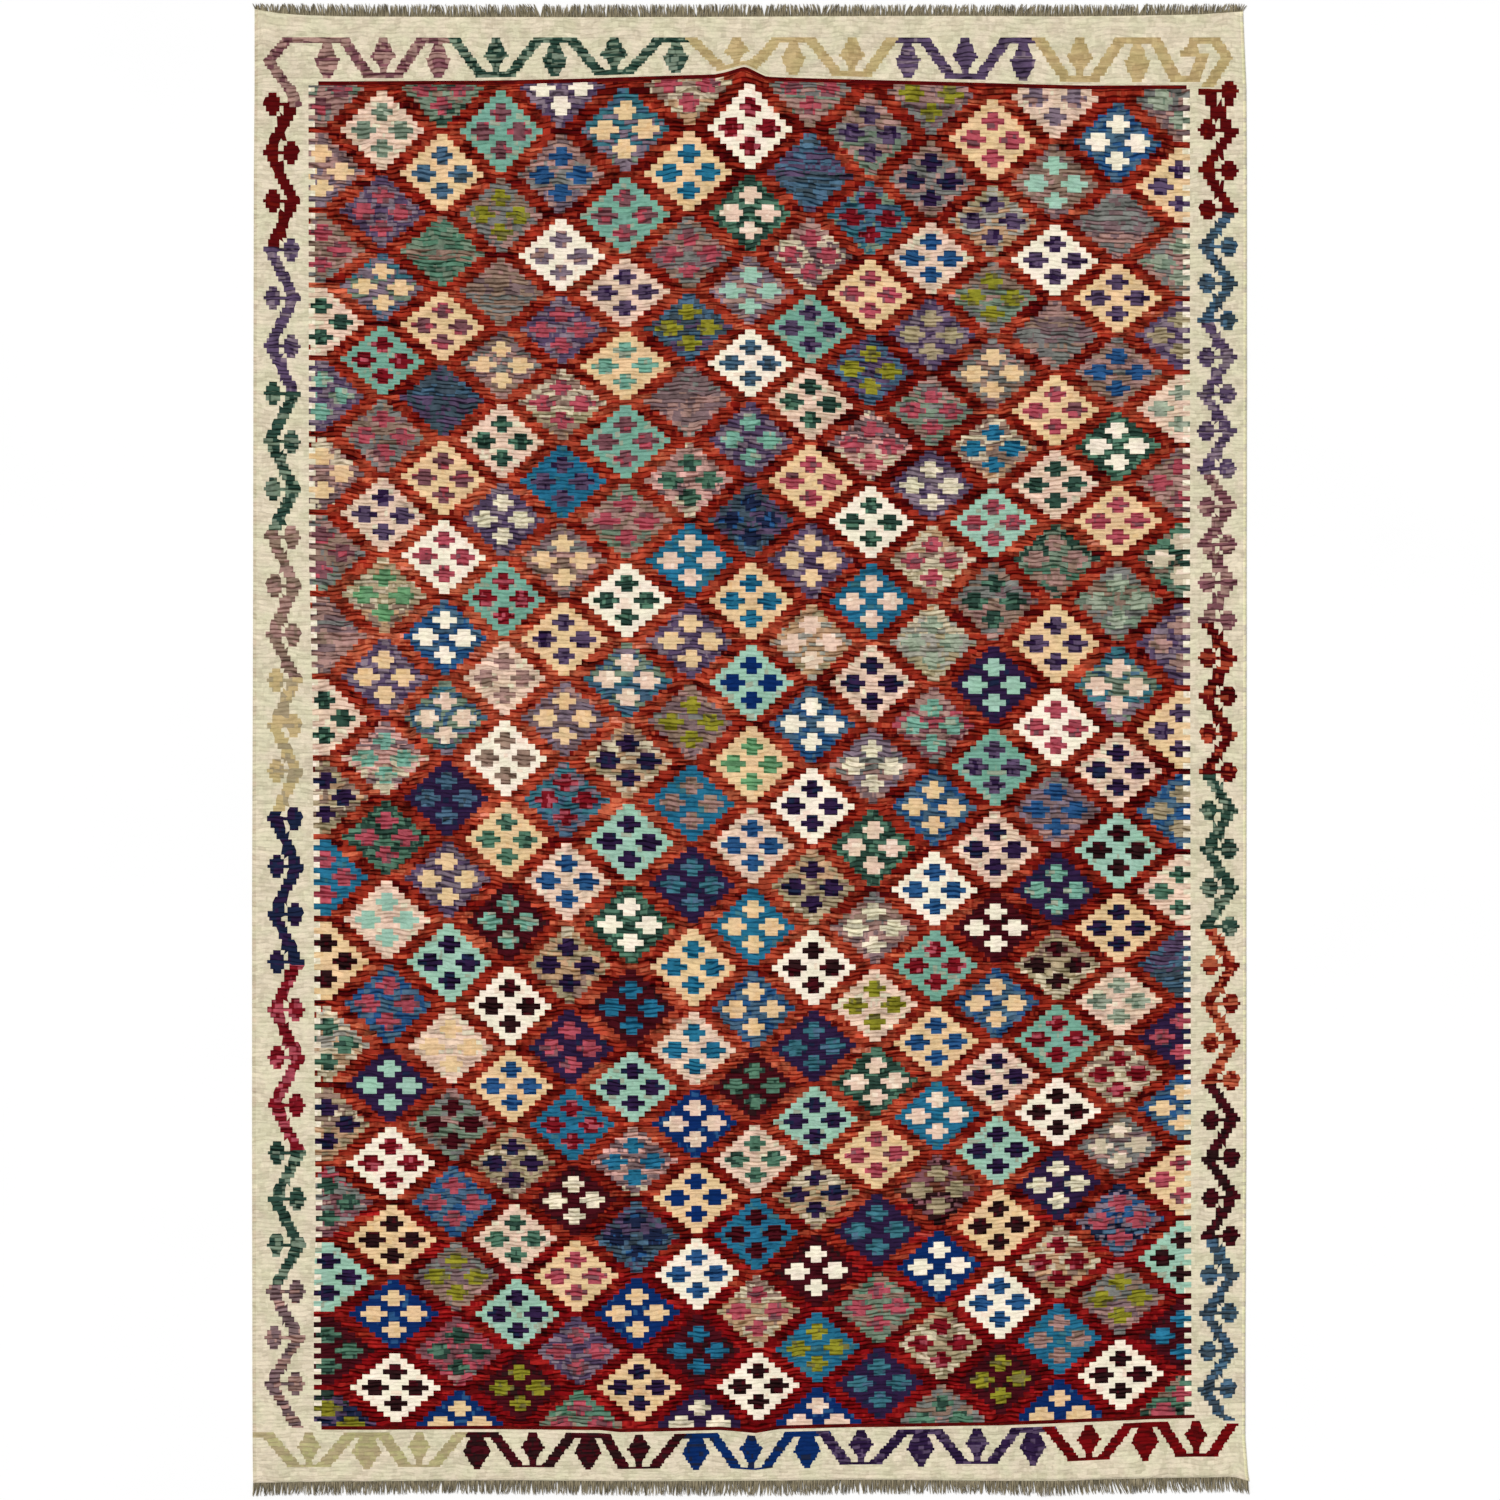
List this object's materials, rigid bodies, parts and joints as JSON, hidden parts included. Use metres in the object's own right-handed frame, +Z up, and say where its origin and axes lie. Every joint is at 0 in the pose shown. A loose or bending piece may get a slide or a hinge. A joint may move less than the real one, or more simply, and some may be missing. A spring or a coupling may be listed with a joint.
{
  "type": "kilim rug",
  "caption": "Large flat-woven wool rug lying flat, with a stepped diamond lattice field, an ivory vine border and a short warp fringe at each end.",
  "frame": {"origin": "centre of the rug's bounding box, at the floor that it lies on", "axes": "+Y along the rug's length towards the end shown at the top of the picture, +X across it to the right, +Z up out of its face"},
  "size_m": [2, 3, 0.0065],
  "materials": {
    "woven_wool": "matte flat-woven wool in many yarn colours",
    "warp_wool": "matte undyed wool warp ends"
  },
  "bodies": {
    "root": {"kilim_cloth": "woven_wool", "fringe_top": "warp_wool", "fringe_bottom": "warp_wool"}
  },
  "joints": []
}
